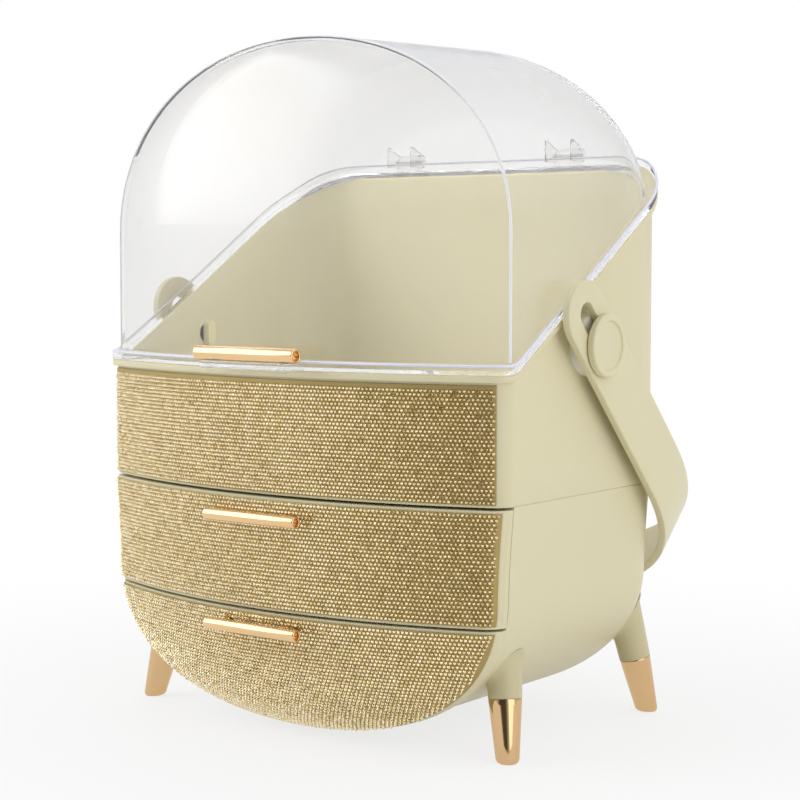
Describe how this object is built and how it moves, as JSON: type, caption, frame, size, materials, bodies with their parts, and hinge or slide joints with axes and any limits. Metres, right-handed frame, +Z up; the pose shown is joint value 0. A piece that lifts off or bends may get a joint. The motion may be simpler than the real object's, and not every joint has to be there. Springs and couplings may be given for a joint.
{
  "type": "makeup organizer",
  "caption": "Free-standing vanity organizer on splayed legs: two stone-covered drawers under an open tub with a hinged clear hood, and a swinging carry strap on side buttons.",
  "frame": {"origin": "middle of the footprint of the whole object with the strap hanging, on the surface it stands on", "axes": "+Z up, the drawers and the stone-covered front face -Y, +X along the width"},
  "size_m": [0.299, 0.263, 0.3738],
  "materials": {
    "cream": "satin moulded plastic, warm cream",
    "strap_cream": "satin moulded plastic, warm cream",
    "pale": "matt pale plastic",
    "gold": "polished rose gold plating",
    "stones": "faceted champagne gold stones on a gold backing",
    "steel": "plain zinc-plated steel",
    "clear": "clear moulded plastic, high gloss"
  },
  "bodies": {
    "casing_body": {"lower_casing": "cream", "drawer_shelf": "cream", "lower_runners": "cream", "drawer_stops": "cream", "casing_screws": "steel", "upper_tub": "cream", "tub_stone_sheet": "stones", "hinge_pin_left": "steel", "hinge_pin_right": "steel", "button_left": "strap_cream", "button_right": "strap_cream", "clip_left": "pale", "clip_right": "pale", "leg_front_left": "cream", "leg_front_right": "cream", "leg_back_left": "cream", "leg_back_right": "cream", "tip_front_left": "gold", "tip_front_right": "gold", "tip_back_left": "gold", "tip_back_right": "gold", "leg_screws": "steel"},
    "hood_body": {"hood": "clear", "hood_bar": "gold", "hood_bar_screws": "steel"},
    "upper_drawer_body": {"upper_drawer_tray": "cream", "upper_drawer_front": "cream", "upper_stone_sheet": "stones", "upper_bar": "gold", "upper_bar_screws": "steel"},
    "lower_drawer_body": {"lower_drawer_tray": "cream", "lower_drawer_front": "cream", "lower_stone_sheet": "stones", "lower_bar": "gold", "lower_bar_screws": "steel"},
    "strap_washers": {"washer_left": "pale", "washer_right": "pale"},
    "strap_body": {"carry_strap": "strap_cream"}
  },
  "joints": [
    {"name": "hood_hinge", "type": "hinge", "parent": "casing_body", "child": "hood_body", "pos_m": [0, 0.08912, 0.3135], "axis": [-1, 0, 0], "range_deg": [0, 100]},
    {"name": "upper_drawer_slide", "type": "slide", "parent": "casing_body", "child": "upper_drawer_body", "axis": [0, -1, 0], "range_m": [0, 0.11]},
    {"name": "lower_drawer_slide", "type": "slide", "parent": "casing_body", "child": "lower_drawer_body", "axis": [0, -1, 0], "range_m": [0, 0.098]},
    {"name": "strap_swing", "type": "hinge", "parent": "casing_body", "child": "strap_washers", "pos_m": [0, -0.01538, 0.20956], "axis": [1, 0, 0], "range_deg": [0, 225]},
    {"name": "strap_slide", "type": "slide", "parent": "strap_washers", "child": "strap_body", "axis": [0, 0.6871, -0.7266], "range_m": [0, 0.022]}
  ]
}
